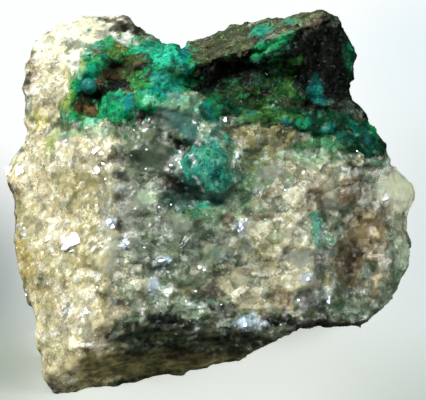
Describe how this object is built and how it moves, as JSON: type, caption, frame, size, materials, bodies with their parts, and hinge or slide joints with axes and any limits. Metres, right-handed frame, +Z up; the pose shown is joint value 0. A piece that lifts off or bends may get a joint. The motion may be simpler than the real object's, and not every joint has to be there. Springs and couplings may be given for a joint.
{
  "type": "chrysocolla specimen",
  "caption": "Hand-size mineral specimen: a broken lump of sugary quartz capped with dark copper ore and a blue-green chrysocolla crust, standing on a flat foot for display or study",
  "frame": {"origin": "middle of the bounding box, on the surface the specimen stands on", "axes": "+X along the broad front face to its right, +Y from the front face to the back, +Z up"},
  "size_m": [0.0502, 0.0332, 0.0422],
  "materials": {
    "quartz_matrix": "sugary broken quartz, cream to grey, with small glints",
    "copper_ore": "dark brown-black, matt, with green stains",
    "chrysocolla_crust": "granular blue-green crust, waxy"
  },
  "bodies": {
    "root": {"chrysocolla_rock": "quartz_matrix"}
  },
  "joints": []
}
